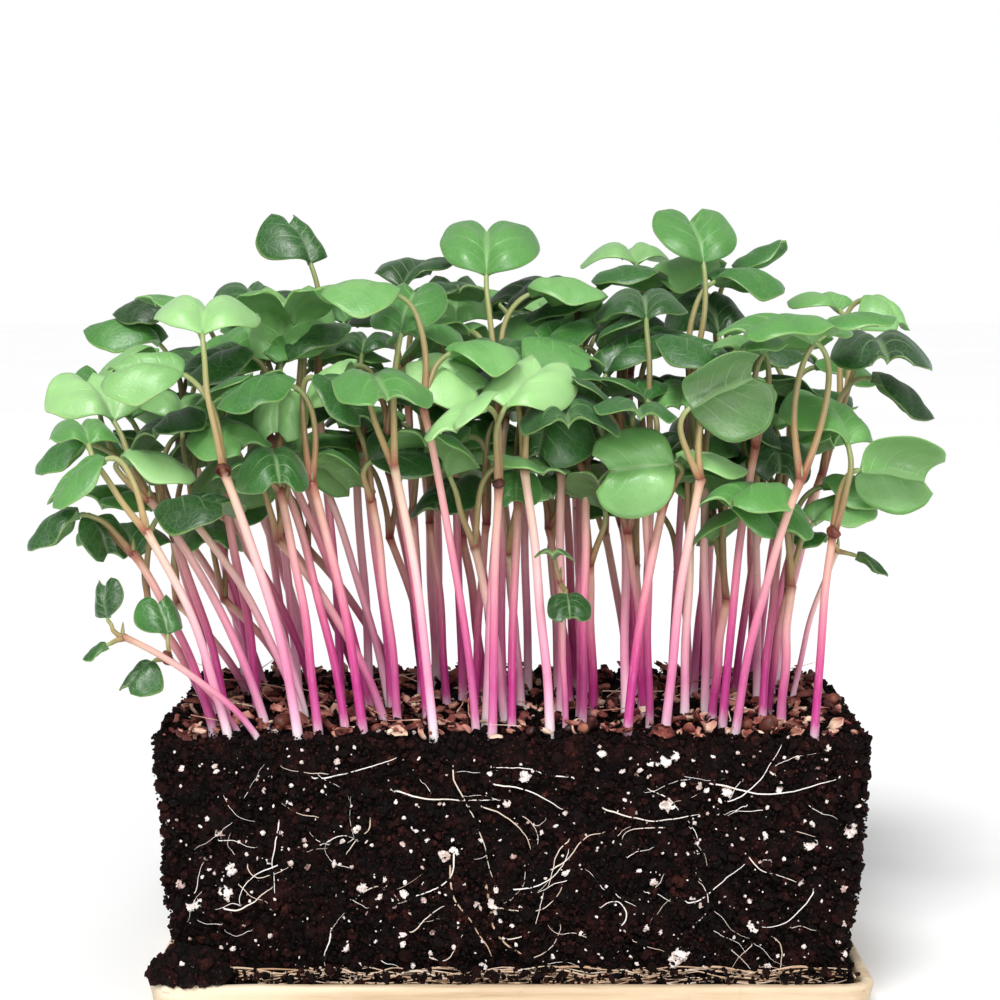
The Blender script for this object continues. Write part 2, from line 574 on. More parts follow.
def leaf_material():
    """Waxy seed leaves: pale veins and margins on light, mid or bluish green, paler beneath."""
    t = Tree("radish_leaf")
    tone, under = t.attribute("tone"), t.attribute("under")
    split = t.node("SeparateXYZ", {"Vector": t.node("UVMap", uv_map="Skin").outputs["UV"]})
    out = t.math("ABSOLUTE", t.minus(split.outputs["X"], 0.5))
    out = t.times(out, 2.0)
    up = split.outputs["Y"]
    patch = t.noise(130, 3, 0.5)
    shade = t.plus(tone, t.times(t.minus(patch, 0.5), 0.35))
    colour = t.ramp(
        shade,
        (0.0, (0.006, 0.040, 0.004)),
        (0.35, (0.030, 0.135, 0.020)),
        (0.65, (0.105, 0.300, 0.066)),
        (1.0, (0.330, 0.590, 0.230)),
    )
    fine = t.noise(520, 4, 0.6)
    midrib = t.band(out, 0.075, 0.015)
    rise = t.plus(t.minus(up, t.times(out, 0.42)), t.times(fine, 0.03))
    comb = t.math("FRACT", t.times(rise, 4.5))
    nearest_vein = t.math("ABSOLUTE", t.minus(comb, 0.5))
    lateral = t.times(t.band(nearest_vein, 0.085, 0.01), t.band(out, 0.85, 0.25))
    net = t.band(t.cells(900, "DISTANCE_TO_EDGE"), 0.09, 0.0)
    veins = t.math("MAXIMUM", midrib, t.times(lateral, 0.75))
    lines = t.math("MAXIMUM", veins, t.times(net, 0.22))
    light = t.mix(0.55, colour, (0.40, 0.58, 0.28, 1.0))
    colour = t.mix(t.times(lines, 0.62), colour, light)
    margin = t.math("MAXIMUM", t.band(out, 0.965, 0.998), t.band(up, 0.98, 0.998))
    colour = t.mix(t.times(margin, 0.28), colour, (0.40, 0.52, 0.18, 1.0))
    beneath = t.mix(0.40, colour, (0.20, 0.38, 0.12, 1.0))
    colour = t.mix(under, colour, beneath)
    height = t.minus(t.times(fine, 0.35), t.times(lines, 0.8))
    roughness = t.ramp(fine, (0.3, (0.33,) * 3), (0.7, (0.46,) * 3))
    t.shader.inputs["Subsurface Weight"].default_value = 0.30
    t.shader.inputs["Subsurface Radius"].default_value = (0.0005, 0.0010, 0.0002)
    t.shader.inputs["Subsurface Scale"].default_value = 1.0
    t.shader.inputs["Specular IOR Level"].default_value = 0.6
    t.shader.inputs["Sheen Weight"].default_value = 0.18
    t.shader.inputs["Sheen Roughness"].default_value = 0.45
    t.shader.inputs["Sheen Tint"].default_value = (0.75, 1.0, 0.80, 1.0)
    return t.finish(Base_Color=colour, Roughness=roughness, Normal=t.bump(height, 0.45, 0.18))


def shell_material(name, scale, contrast, stops, roughness, bumps):
    """Thin dry seed coat, mottled and wrinkled, each piece in its own tone."""
    t = Tree(name)
    tone = t.plus(t.noise(scale, 4), t.times(t.minus(t.attribute("tone"), 0.5), contrast))
    fine = t.noise(1600, 4)
    colour = t.ramp(tone, *stops)
    return t.finish(Base_Color=colour, Roughness=t.band(fine, *roughness), Normal=t.bump(fine, *bumps))


def hull_material():
    dark = (0.2, (0.018, 0.004, 0.003)), (0.45, (0.09, 0.018, 0.01))
    stops = *dark, (0.65, (0.22, 0.055, 0.03)), (0.9, (0.42, 0.17, 0.1))
    return shell_material("hull", 420, 0.5, stops, (-0.6, 1.4), (0.6, 0.12))


def husk_material():
    dark = (0.25, (0.06, 0.01, 0.008)), (0.48, (0.2, 0.04, 0.03))
    stops = *dark, (0.66, (0.48, 0.2, 0.15)), (0.9, (0.78, 0.6, 0.45))
    return shell_material("husk", 300, 0.6, stops, (-0.8, 1.2), (0.5, 0.1))


def wood_material():
    """Pale close-grained wood with faint rings, pores and a little soil rubbed in."""
    t = Tree("pale_wood")
    long = t.node("Mapping", {"Vector": t.where(), "Scale": (18.0, 260.0, 260.0)}).outputs["Vector"]
    grain, pores = t.noise(1.0, 6, 0.6, long), t.noise(5.0, 3, 0.5, long)
    colour = t.ramp(grain, (0.30, (0.50, 0.36, 0.22)), (0.50, (0.70, 0.55, 0.38)), (0.70, (0.80, 0.68, 0.51)))
    colour = t.mix(t.times(t.band(pores, 0.62, 0.75), 0.5), colour, (0.36, 0.22, 0.12, 1.0))
    stain = t.times(t.band(t.noise(45, 5, 0.7), 0.56, 0.72), 0.45)
    colour = t.mix(stain, colour, (0.16, 0.09, 0.05, 1.0))
    height = t.plus(grain, t.times(pores, 0.5))
    return t.finish(Base_Color=colour, Roughness=t.band(grain, -0.8, 1.4), Normal=t.bump(height, 0.35, 0.2))


def floor_material():
    t = Tree("studio_floor")
    colour = t.ramp(t.noise(2.5, 2), (0.3, (0.93, 0.93, 0.93)), (0.7, (0.95, 0.95, 0.95)))
    return t.finish(Base_Color=colour, Roughness=0.9)


# ---------------------------------------------------------------- the plants

LEAF_GROWTH = 1.12  # the blades are a little wider than the CAD's stand-ins
LEAF_ACROSS, LEAF_ALONG = 11, 22  # mesh steps over half a blade's width, and along it
# The blade's outline at even steps from its base to its notch, as shares of its width and length
OUTLINE_OUT = (0.035, 0.190, 0.345, 0.450, 0.500, 0.500, 0.455, 0.355, 0.205)
OUTLINE_MIDRIB = (0.0, 0.10, 0.21, 0.33, 0.45, 0.57, 0.68, 0.77, 0.83)
OUTLINE_MARGIN = (0.0, 0.02, 0.09, 0.23, 0.43, 0.63, 0.82, 0.955, 1.0)


def smooth_through(values, places):
    """A Catmull-Rom curve through evenly spaced values, read at places from 0 to their last index."""
    padded = np.concatenate([[2 * values[0] - values[1]], values, [2 * values[-1] - values[-2]]])
    cell = np.clip(np.floor(places).astype(int), 0, len(values) - 2)
    t = places - cell
    a, b, c, d = (padded[cell + k] for k in range(4))
    return 0.5 * (2 * b + (c - a) * t + (2 * a - 5 * b + 4 * c - d) * t**2 + (3 * b - a - 3 * c + d) * t**3)


def leaf_blade(crown, leaf, rng):
    """A seed leaf's blade: points, faces, each point's place across and along it, and 1 where beneath."""
    leaf = (*leaf[:7], leaf[7] * LEAF_GROWTH)
    width = leaf[7]
    length = width * LENGTH_PER_WIDTH
    s = np.linspace(-1, 1, 2 * LEAF_ACROSS + 1)
    k = np.linspace(0, len(OUTLINE_OUT) - 1, LEAF_ALONG + 1)
    outlines = OUTLINE_OUT, OUTLINE_MIDRIB, OUTLINE_MARGIN
    out, midrib, margin = (smooth_through(np.array(one), k) for one in outlines)
    lopsided = 1 + rng.uniform(-0.09, 0.09) * np.sign(s)
    cup = np.sign(s) * np.abs(s) ** 0.92
    x = out[:, None] * cup * lopsided * width
    y = (midrib[:, None] + (margin - midrib)[:, None] * np.abs(s) ** 1.8) * length
    wave, phase = rng.uniform(0.012, 0.034) * width, rng.uniform(0, 6, 2)
    left, right = np.sin(k * 1.9 + phase[0])[:, None], np.sin(k * 1.7 + phase[1])[:, None]
    ripple = np.abs(s) ** 4 * np.where(s < 0, left, right)
    droop = rng.uniform(-0.04, 0.32)
    u = np.abs(x) / (width / 2)
    rise = width * (rng.uniform(0.07, 0.16) * (1 - np.exp(-u / 0.2)) - droop * u**2) + wave * ripple
    rise += width * 0.012 * np.sin(u * 9 - y / length * 14) * np.clip(1.2 - u, 0, 1)
    fade = np.clip(k / 2.0, 0.15, 1)[:, None]
    thick = 0.5 * (0.20 + 0.34 * (1 - np.abs(s)[None] ** 3)) * np.ones_like(x)
    keel = 0.42 * np.exp(-((x / 0.55) ** 2)) * np.clip(1 - y / length, 0, 1)
    shape = np.concatenate([rise * fade + thick, rise * fade - thick - keel]).ravel()
    flat = np.concatenate([x, x]).ravel(), np.concatenate([y, y]).ravel()
    points = placed_blade(crown, leaf, *flat, shape)
    rows, columns = LEAF_ALONG + 1, 2 * LEAF_ACROSS + 1
    grid = np.arange(rows * columns).reshape(rows, columns)
    faces = slab_faces(grid)
    across = np.tile(np.tile((s + 1) / 2, rows), 2)
    up = np.tile(np.repeat(k / k[-1], columns), 2)
    under = np.repeat([0.0, 1.0], grid.size)
    return points, faces, across, up, under


def wobble(line, rng, size):
    """A line with slow sideways waves that vanish at its ends."""
    t = np.linspace(0, 1, len(line))
    hold = np.sin(pi * t) ** 0.7
    phase, pace = rng.uniform(0, 2 * pi, 4), rng.uniform(1.5, 3.6, 4)
    slow = [np.sin(pace[i] * pi * t + phase[i]) for i in (0, 1)]
    quick = [0.4 * np.sin(2.7 * pace[i] * t + phase[i]) for i in (2, 3)]
    shift = [hold * (one + other) for one, other in zip(slow, quick)]
    return line + size * np.stack([*shift, 0 * t], -1)


def skin_of(line, count, offset=0.0):
    """Texture places on a tube: round it, and its length in millimetres."""
    run = offset + np.concatenate([[0], np.cumsum(np.linalg.norm(np.diff(line, axis=0), axis=1))])
    run = np.concatenate([run[:1], run, run[-1:]])
    return np.tile(np.abs(np.linspace(-1, 1, count, endpoint=False)), len(run)), np.repeat(run, count)


def build_plant(name, seedling, rng, tone, paleness, size, stem_finish, leaf_finish, nodes=()):
    """One seedling: stem, two petioles, a bud between them and two blades, as one piece."""
    foot, crown, *leaves = seedling
    parts, skin, numbers = [], [], {"along": [], "plant": [], "tone": [], "under": []}

    def add(points, faces, slot, places, along, leaf_tone=0.5, under=0.0):
        parts.append((points, faces, slot))
        skin.append(np.stack(places, -1))
        for key, value in zip(numbers, (along, paleness, leaf_tone, under)):
            numbers[key].append(np.broadcast_to(np.asarray(value, float), len(points)))

    count = 12
    start = np.array((*foot, SOIL_TOP), float)
    lean = (np.array(crown, float) - start) * (0.3, 0.3, 0.55)
    t = np.linspace(0, 1, 34)
    line = wobble(bezier(start, start + lean, np.array(crown, float), t), rng, 0.16)
    line = np.vstack([start - (0, 0, 4.0), start - (0, 0, 1.5), line])
    swelling = 0.10 * np.exp(-((t / 0.08) ** 2)) - 0.08 * t + 0.22 * np.exp(-(((1 - t) / 0.03) ** 2))
    radii = STEM_RADIUS * size * rng.uniform(0.80, 1.0) * (1.0 + swelling)
    radii = np.concatenate([[0.45 * size, 0.8 * size], radii])
    points, faces = tube_mesh(line, radii, count)
    rings = np.concatenate([[0, 0, 0], t, [1.0]])
    add(points, faces, 0, skin_of(line, count), np.repeat(rings, count))
    for number, leaf in enumerate(leaves):
        base = np.array(crown, float) + leaf[:3]
        midrib = blade_frame(*leaf[3:6])[1]
        reach = np.linalg.norm(leaf[:3])
        start = np.array(crown, float) - (0, 0, 0.3)
        t = np.linspace(0, 1, 18)
        line = wobble(bezier(start, base - midrib * reach * 0.35, base, t), rng, 0.12)
        line = np.vstack([line, base + midrib * 0.8])
        radii = PETIOLE_RADIUS * size * (1.28 - 0.35 * t + 0.25 * np.exp(-((t / 0.12) ** 2)))
        radii = np.append(radii, 0.30 * size)
        points, faces = tube_mesh(line, radii, 10, 0.85)
        along = np.concatenate([[1.0], 1 + t, [2.0, 2.0]])
        add(points, faces, 0, skin_of(line, 10, 50.0), np.repeat(along, 10))
        points, faces, across, up, under = leaf_blade(crown, leaf, rng)
        add(points, faces, 1, (across, up), 2.0, np.clip(tone + rng.uniform(-0.12, 0.12), 0, 1), under)
    bud = np.array(crown, float) + np.outer((0, 0.7, 1.5, 2.2), (0.06, -0.05, 1.0))
    points, faces = tube_mesh(bud, np.array((0.5, 0.62, 0.42, 0.12)) * size, 8, 0.7)
    add(points, faces, 0, skin_of(bud, 8, 80.0), 1.7)
    numbers = {key: np.concatenate(values) for key, values in numbers.items()}
    obj = new_piece(name, parts, (stem_finish, leaf_finish), numbers)
    lay_skin(obj, np.concatenate(skin))
    return hand_over(obj, "seedling", *nodes)


def lay_skin(obj, places):
    """A UV map from each point's texture place."""
    layer = obj.data.uv_layers.new(name="Skin")
    corners = np.empty(len(obj.data.loops), np.int32)
    obj.data.loops.foreach_get("vertex_index", corners)
    layer.data.foreach_set("uv", places[corners].astype(np.float32).ravel())


# The added seedlings: how far left a crown may lean, and the room and the steps they may try
CROWN_LIMIT = -57.0
MORE_CLEARANCES, MORE_STEPS = (1.5, 1.0, 0.6), STEPS[:9]


def more_seedlings():
    """The rest of the stand, between and behind the ones the CAD holds: feet on a jittered grid."""
    rng = np.random.default_rng(11)
    rows = []
    for y in np.arange(-17.0, 27.0, 7.5):
        for x in np.arange(-45.0, 48.0, 11.0):
            foot = x + rng.uniform(-3.5, 3.5), y + rng.uniform(-2.5, 2.5)
            lean = -3.0 - 9.0 * (foot[0] < -20) + 0.09 * foot[0] + rng.uniform(-3, 3)
            away, height = rng.uniform(-3, 4), rng.uniform(64, 95) - 0.003 * foot[0] ** 2
            crown = max(foot[0] + lean, CROWN_LIMIT), foot[1] + away, height
            first = rng.uniform(0, 360)
            leaves = []
            for turn in (0, 180 + rng.uniform(-35, 35)):
                azimuth = first + turn
                spread = rng.uniform(3, 6)
                base = spread * cos(radians(azimuth)), spread * sin(radians(azimuth)), rng.uniform(10, 17)
                ranges = (-10, 50), (-12, 12), (35, 80), (11, 14)
                leaves.append((*base, azimuth, *(rng.uniform(*one) for one in ranges)))
            rows.append((foot, crown, *leaves))
    return [rows[k] for k in rng.permutation(len(rows))]


def build_plants():
    stem_finish, leaf_finish = stem_material(), leaf_material()
    seedlings, taken = settle(SEEDLINGS, [(0.0, 0.0, 0.0)])
    late, taken = settle(LATE_SEEDLINGS, taken)
    others, _ = settle(more_seedlings(), taken, MORE_CLEARANCES, MORE_STEPS)
    plants = [(f"seedling_{n:02d}", one, 1.0, True) for n, one in enumerate(seedlings, 1)]
    plants += [(f"late_seedling_{n}", one, 0.72, True) for n, one in enumerate(late, 1)]
    plants += [(f"more_seedling_{n:02d}", one, 1.0, False) for n, one in enumerate(others, 1)]
    for number, (name, seedling, size, in_cad) in enumerate(plants):
        rng = np.random.default_rng(500 + number)
        depth = (seedling[1][1] + 28) / 56
        tone = np.clip(rng.uniform(0.1, 1.05) - 0.30 * depth, 0, 1)
        paleness = rng.uniform(0, 1)
        nodes = (name,) if in_cad else ()
        build_plant(name + "_plant", seedling, rng, tone, paleness, size, stem_finish, leaf_finish, nodes)
    return [seedling for _, seedling, _, _ in plants]


# ---------------------------------------------------------------- the soil

SOIL_STEP = 0.62  # of the soil's mesh
CRUMBS_PER_PIECE = 5000
CRUMB_LIFT = 0.1  # how far a crumb's middle stands out of the soil
LARGE_CRUMB, LARGE_PERLITE = 0.6, 0.5  # the radius from which a grain gets a finer mesh


def box_shell(length, width, height, step):
    """The skin of a box as one closed lattice: unit positions from -0.5 to 0.5, and quads."""
    counts = [max(2, int(round(size / step))) for size in (length, width, height)]
    quads = []
    for axis in range(3):
        one, two = [k for k in range(3) if k != axis]
        i, j = np.meshgrid(np.arange(counts[one]), np.arange(counts[two]), indexing="ij")
        for level in (0, counts[axis]):
            corners = []
            for di, dj in ((0, 0), (1, 0), (1, 1), (0, 1)):
                corner = np.empty((i.size, 3), int)
                corner[:, axis], corner[:, one], corner[:, two] = level, (i + di).ravel(), (j + dj).ravel()
                corners.append(corner)
            outward = (level > 0) == (axis != 1)
            quads.append(np.stack(corners if outward else corners[::-1], 1))
    quads = np.concatenate(quads)
    flat, inverse = np.unique(quads.reshape(-1, 3), axis=0, return_inverse=True)
    return flat / counts - 0.5, inverse.reshape(-1, 4)


def soil_shape(places):
    """Points of the soil block's broad shape, and their outward directions, from unit places on a box."""
    low = TRAY_FLOOR + GAP + MAT_THICKNESS + GAP
    share = places[:, 2] + 0.5
    inset = 2 * BLOCK_TAPER * (1 - share)
    x, y = places[:, 0] * (BLOCK_LENGTH - inset), places[:, 1] * (BLOCK_WIDTH - inset)
    points = np.stack([x, y, low + share * (SOIL_TOP - low)], -1)
    half = np.array((BLOCK_LENGTH, BLOCK_WIDTH, SOIL_TOP - low)) / 2
    middle = np.array((0, 0, (SOIL_TOP + low) / 2))
    offset = (points - middle) / half
    outward = np.sign(offset) * np.clip(np.abs(offset) * half - (half - 3.0), 0, None)
    outward[:, 2] *= places[:, 2] > 0
    outward /= np.linalg.norm(outward, axis=1)[:, None] + 1e-9
    lumps = [noise.noise_vector(Vector(point) * 0.11) for point in points]
    points += ROUGHNESS * np.array(lumps) * np.stack([np.ones(len(x))] * 2 + [(share > 0.01) * 1.0], -1)
    return points, outward


def crumble(points):
    """How far the soil stands out at each point: rounded crumbs of two sizes on slow waves."""
    height = np.empty(len(points))
    for i, point in enumerate(points):
        p = Vector(point)
        big = noise.voronoi(p / 2.6)[0]
        small = noise.voronoi(p / 1.15 + Vector((7, 3, 1)))[0]
        wave = 0.9 * noise.noise(p * 0.28)
        lump = 1.05 * (0.5 - big[0]) * min(1, 3 * (big[1] - big[0]))
        height[i] = wave + lump + 0.5 * (0.45 - small[0])
    return height


def build_soil(finish):
    places, quads = box_shell(BLOCK_LENGTH, BLOCK_WIDTH, SOIL_TOP, SOIL_STEP * (1))
    points, outward = soil_shape(places)
    height = crumble(points)
    raised = points + outward * (height - 0.35)[:, None]
    tone = 0.5 + 0.35 * np.clip(height, -1, 1)
    heap = Heap()
    heap.add(raised, quads, tone)
    heap.hand_over("soil_block_crumbly", finish, "soil", "soil_block")
    return points, outward


def scatter(rng, points, outward, count, wanted):
    """Random places near the points of the soil's skin that are wanted, with their outward directions."""
    chosen = rng.choice(np.flatnonzero(wanted), count)
    return points[chosen] + rng.normal(size=(count, 3)) * 0.4 * (1 - np.abs(outward[chosen])), outward[chosen]


def build_crumbs(points, outward, finish):
    """Thousands of crumbs bedded in the soil's faces, in several pieces so that none is too heavy."""
    sides = {
        "front": (outward[:, 1] < -0.6, 15000),
        "top": (outward[:, 2] > 0.6, 9000),
        "left": (outward[:, 0] < -0.6, 5200),
        "right": (outward[:, 0] > 0.6, 5200),
        "back": (outward[:, 1] > 0.6, 10000),
    }
    for number, (side, (wanted, count)) in enumerate(sides.items()):
        rng = np.random.default_rng(40 + number)
        count = count // 1
        where, out = scatter(rng, points, outward, count, wanted)
        sizes = np.clip(rng.lognormal(-1.12, 0.52, count), 0.14, 1.3)
        centres = where + out * (rng.uniform(-0.3, 0.5, count) + CRUMB_LIFT - 0.3 * sizes)[:, None]
        batches = np.arange(count) // CRUMBS_PER_PIECE
        for batch in range(batches[-1] + 1):
            heap = Heap()
            for large, subdivisions in ((True, 2), (False, 1)):
                mask = (batches == batch) & ((sizes > LARGE_CRUMB) == large)
                heap.add(*grains(rng, centres[mask], sizes[mask], subdivisions, 0.36, 0.5))
            heap.hand_over(f"crumbs_{side}_{batch + 1}", finish, "soil", smooth=False)


def build_perlite(points, outward, finish):
    """White volcanic grains, few large and many small, bedded in every face."""
    rng = np.random.default_rng(61)
    x, y, z = outward.T
    heap = Heap()
    for wanted, count in ((y < -0.9, 620), (z > 0.9, 160), (y > 0.9, 420), (np.abs(x) > 0.9, 420)):
        where, out = scatter(rng, points, outward, count, wanted)
        sizes = np.clip(rng.lognormal(-1.35, 0.62, count), 0.10, 1.35)
        centres = where + out * (0.42 - 0.35 * sizes)[:, None]
        for mask, subdivisions in ((sizes > LARGE_PERLITE, 3), (sizes <= LARGE_PERLITE, 2)):
            heap.add(*grains(rng, centres[mask], sizes[mask], subdivisions, 0.36, 0.45))
    heap.hand_over("perlite", finish, "soil", smooth=False)


# ---------------------------------------------------------------- the roots

# Roots that show on the front face: start x and z, heading in degrees, length, radius and curl
FRONT_ROOTS = (
    (-31, 38, -8, 14, 0.16, 6),
    (-19, 36, 4, 17, 0.20, -5),
    (-3, 37, -6, 12, 0.17, 5),
    (-6, 34, -25, 13, 0.16, 8),
    (9, 38, 172, 13, 0.15, -9),
    (14, 33, -4, 16, 0.17, 10),
    (21, 36, -12, 12, 0.14, -8),
    (30, 37, -3, 21, 0.18, 4),
    (33, 34, 8, 13, 0.14, 10),
    (-9, 40, -92, 20, 0.17, 4),
    (-9, 26, -80, 14, 0.19, -10),
    (-36, 31, -105, 12, 0.15, 8),
    (-36, 24, 205, 10, 0.14, -14),
    (-45, 17, -20, 9, 0.20, 16),
    (-41, 24, -85, 8, 0.12, 18),
    (-22, 32, -75, 8, 0.16, -12),
    (-3, 17, 2, 13, 0.15, -9),
    (0, 20, 18, 12, 0.15, -12),
    (6, 23, 38, 11, 0.16, 10),
    (-1, 12, -8, 11, 0.14, 12),
    (2, 8, 25, 9, 0.12, -18),
    (17, 14, 40, 8, 0.17, 20),
    (27, 18, -25, 12, 0.14, 12),
    (28, 14, 28, 9, 0.13, -16),
    (36, 26, -38, 10, 0.15, 10),
    (47, 20, -120, 11, 0.14, 14),
    (41, 12, -25, 9, 0.13, -14),
    (-16, 13, 15, 9, 0.14, 16),
    (-28, 14, -100, 8, 0.17, -18),
    (-24, 19, 25, 8, 0.13, 14),
    (-13, 9, -35, 8, 0.14, 20),
    (9, 28, 205, 9, 0.13, 14),
    (24, 30, -160, 8, 0.13, -16),
    (-30, 27, 20, 7, 0.12, 22),
)
# The two tan roots that run down to the base: x, top and bottom z, radius
TALL_ROOTS = ((-9.5, 24, 7, 0.24), (-4.0, 21, 6, 0.32))


def wander(rng, start, heading, length, curl, steps=26):
    """A wavering line on a plane: its two coordinates at even steps."""
    kinks = rng.normal(size=steps) * 6
    sweep = curl * np.sin(np.linspace(0, 3, steps) + rng.uniform(0, 3)) * 0.35
    angle = np.radians(heading + np.cumsum(kinks + sweep))
    step = np.stack([np.cos(angle), np.sin(angle)], -1) * length / steps
    return np.array(start, float) + np.vstack([[0, 0], np.cumsum(step, axis=0)])


def face_depth(z):
    """How far the front face stands back at a height, because the block tapers."""
    low = TRAY_FLOOR + GAP + MAT_THICKNESS + GAP
    return BLOCK_WIDTH / 2 - BLOCK_TAPER * (1 - (z - low) / (SOIL_TOP - low))


def on_side(side, flat, rng):
    """Lays a flat line on one side of the block, dipping in and out of the crumbs."""
    lift = 0.55 + 0.30 * np.sin(np.linspace(0, rng.uniform(4, 11), len(flat)) + rng.uniform(0, 6))
    lift[[0, -1]] -= 0.9
    a, z = flat[:, 0], np.clip(flat[:, 1], 4.0, SOIL_TOP - 0.5)
    depth = face_depth(z)
    if side == "front":
        return np.stack([a, -depth - lift, z], -1)
    if side == "back":
        return np.stack([a, depth + lift, z], -1)
    reach = depth + (BLOCK_LENGTH - BLOCK_WIDTH) / 2 + lift
    return np.stack([reach if side == "right" else -reach, a, z], -1)


def root_tube(line, radius):
    taper = np.linspace(0.75, 0.35, len(line)) * radius
    return tube_mesh(line, taper, 7)


def build_roots(finish):
    rng = np.random.default_rng(71)
    for side in ("front", "back", "left", "right"):
        heap = Heap()
        half = (BLOCK_LENGTH if side in ("front", "back") else BLOCK_WIDTH) / 2 - 5
        rows = FRONT_ROOTS if side == "front" else ()
        lines = [(wander(rng, row[:2], row[2], row[3], row[5]), row[4]) for row in rows]
        for _ in range({"front": 60, "back": 80, "left": 42, "right": 42}[side]):
            start = rng.uniform(-half, half), rng.uniform(7, 40)
            heading = rng.choice((0, 180)) + rng.normal() * 35
            flat = wander(rng, start, heading, rng.uniform(2, 8), rng.uniform(-12, 12))
            lines.append((flat, rng.uniform(0.05, 0.10)))
        for flat, radius in lines:
            flat[:, 0] = np.clip(flat[:, 0], -half - 2, half + 2)
            heap.add(*root_tube(on_side(side, flat, rng), radius), rng.uniform(0.35, 1.0))
        if side == "front":
            for x, top, bottom, radius in TALL_ROOTS:
                flat = wander(rng, (x, top), -90, top - bottom, 6)
                heap.add(*root_tube(on_side(side, flat, rng), radius), 0.1)
        heap.hand_over(f"roots_{side}", finish, "roots")


def build_root_mat(finish):
    """Roots matted round the block's foot: long strands that circle it, over a rough pad."""
    rng = np.random.default_rng(81)
    heap = Heap()
    size = np.array((2 * 51.4, 2 * 26.4, MAT_THICKNESS))
    places, quads = box_shell(*size, 0.9)
    pad = places * size + (0, 0, TRAY_FLOOR + GAP + MAT_THICKNESS / 2)
    pad[:, 2] += 0.15 * np.sin(pad[:, 0] * 2.1 + np.sin(pad[:, 1] * 1.7) * 2) * (places[:, 2] > -0.4)
    heap.add(pad, quads, 0.15)
    low_half = np.array((BLOCK_LENGTH / 2 - BLOCK_TAPER, BLOCK_WIDTH / 2 - BLOCK_TAPER))
    for _ in range(260):
        side = rng.choice(4, p=(0.34, 0.3, 0.18, 0.18))
        half = low_half[0 if side < 2 else 1]
        length = rng.uniform(8, 30)
        start = rng.uniform(-half, half - length * 0.5)
        a = np.linspace(start, min(start + length, half), 24)
        z = 5.2 + rng.uniform(-1.6, 1.9) + 0.5 * np.sin(a * rng.uniform(0.2, 0.7) + rng.uniform(0, 6))
        out = low_half[1 if side < 2 else 0] + rng.uniform(0.1, 1.5)
        out = out + 0.35 * np.sin(a * 0.6 + rng.uniform(0, 6))
        columns = {0: (a, -out, z), 1: (a, out, z), 2: (-out, a, z), 3: (out, a, z)}[side]
        heap.add(*root_tube(np.stack(columns, -1), rng.uniform(0.12, 0.30)), rng.uniform(0.0, 0.45))
    heap.hand_over("root_mat_felt", finish, "roots", "root_mat")


# ---------------------------------------------------------------- hulls, husks and fallen soil


# Hulls still caught at a crown: the plant's place in the plan, and the radius
CAUGHT_HULLS = {5: 1.3, 11: 1.1, 26: 1.2, 30: 1.3, 48: 1.2}
FLAKE_THICKNESS = 0.14


def shell_piece(rng, centre, radius, open_share):
    """An empty seed coat: a wrinkled ball with a torn opening, with thickness."""
    base, faces = icosphere(3)
    shift = Vector((centre[0], centre[1], 0))
    wrinkle = np.array([noise.noise(Vector(point) * 2.6 + shift) for point in base])
    turn = random_turns(rng, 1)[0]
    outer = base * (1 + 0.14 * wrinkle)[:, None] * radius * (1.0, 0.86, 0.78)
    used = faces[base[faces].mean(1)[:, 2] < open_share]
    inner = outer * 0.86
    edges = np.concatenate([used[:, [0, 1]], used[:, [1, 2]], used[:, [2, 0]]])
    known = {tuple(edge) for edge in edges}
    rim = np.array([(a, b) for a, b in edges if (b, a) not in known])
    count = len(base)
    walls = [used, used[:, ::-1] + count]
    if len(rim):
        a, b = rim.T
        walls.append(np.stack([b, a, a + count], -1))
        walls.append(np.stack([b, a + count, b + count], -1))
    points = np.concatenate([outer, inner]) @ turn.T + centre
    walls = np.concatenate(walls)
    used_points, compact = np.unique(walls, return_inverse=True)
    return points[used_points], compact.reshape(-1, 3)


def build_hulls(plan, feet, finish):
    """Seed hulls: the four the CAD holds, and more on the soil and caught on the plants."""
    rng = np.random.default_rng(91)
    for number, (x, y, radius) in enumerate(SEED_HULLS, 1):
        centre = np.array((x, y, SOIL_TOP + 0.6 + radius * 0.6))
        heap = Heap()
        heap.add(*shell_piece(rng, centre, radius, 0.45), 0.5)
        heap.hand_over(f"seed_hull_{number}_torn", finish, "seed_hull", f"seed_hull_{number}")
    heap = Heap()
    for number, radius in CAUGHT_HULLS.items():
        centre = plan[number][1] + np.array((0.0, -0.8 * radius, 0.3 * radius))
        heap.add(*shell_piece(rng, centre, radius, 0.4), rng.uniform(0.2, 0.8))
    for _ in range(46):
        x, y = rng.uniform(-52, 52), rng.uniform(-28.5, 28)
        if min((x - a) ** 2 + (y - b) ** 2 for a, b in feet) < 3.4:
            continue
        radius = rng.uniform(0.7, 1.25)
        centre = np.array((x, y, SOIL_TOP + 0.5 + radius * 0.5))
        heap.add(*shell_piece(rng, centre, radius, rng.uniform(-0.3, 0.5)), rng.uniform(0, 1))
    heap.hand_over("loose_hulls", finish, "seed_hull")


